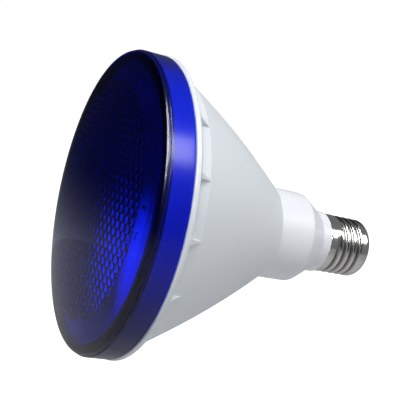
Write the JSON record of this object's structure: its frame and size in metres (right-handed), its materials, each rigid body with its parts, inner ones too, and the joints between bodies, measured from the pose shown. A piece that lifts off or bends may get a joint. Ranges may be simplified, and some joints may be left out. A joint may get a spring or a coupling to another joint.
{
  "type": "spotlight lamp",
  "caption": "Reflector-shaped spotlight lamp: blue dimpled lens cover, white ribbed conical housing, white neck and screw cap, with a light board, heat sink and driver inside.",
  "frame": {"origin": "on the lamp's axis, in the plane where the screw shell's mouth meets the neck", "axes": "+Y along the axis towards the cap's contact, so the lens faces -Y; X and Z are square to it, with a rim rib on +X"},
  "size_m": [0.1226, 0.1371, 0.1226],
  "materials": {
    "blue_lens": "clear tinted, polished",
    "seal": "matte",
    "white_plastic": "fine satin",
    "reflector_silver": "spun, satin",
    "neck_white": "satin",
    "heat_sink": "spun, plain",
    "light_board": "white mask",
    "light_source": "phosphor",
    "screw_steel": "zinc plated",
    "nickel_plate": "nickel plated",
    "cap_insulator": "polished",
    "contact_metal": "tinned",
    "circuit_board": "solder mask",
    "resistor": "coated",
    "film_capacitor": "moulded",
    "component_black": "moulded",
    "capacitor_sleeve": "sleeved",
    "ferrite": "sintered",
    "wire_red": "extruded",
    "wire_black": "extruded"
  },
  "bodies": {
    "root": {"lens_cover": "blue_lens", "seal_ring": "seal", "housing": "white_plastic", "reflector": "reflector_silver", "heat_sink": "heat_sink", "led_board": "light_board", "led_packages": "light_source", "board_screws": "screw_steel", "neck_screws": "screw_steel", "neck": "neck_white", "screw_shell": "nickel_plate", "cap_insulator": "cap_insulator", "centre_contact": "contact_metal", "driver_board": "circuit_board", "fuse_resistor": "resistor", "input_capacitor": "film_capacitor", "bridge_rectifier": "component_black", "bulk_capacitor": "capacitor_sleeve", "driver_chip": "component_black", "driver_inductor": "ferrite", "output_capacitor": "capacitor_sleeve", "lead_positive": "wire_red", "lead_negative": "wire_black", "live_lead": "wire_red", "neutral_lead": "wire_black"}
  },
  "joints": []
}
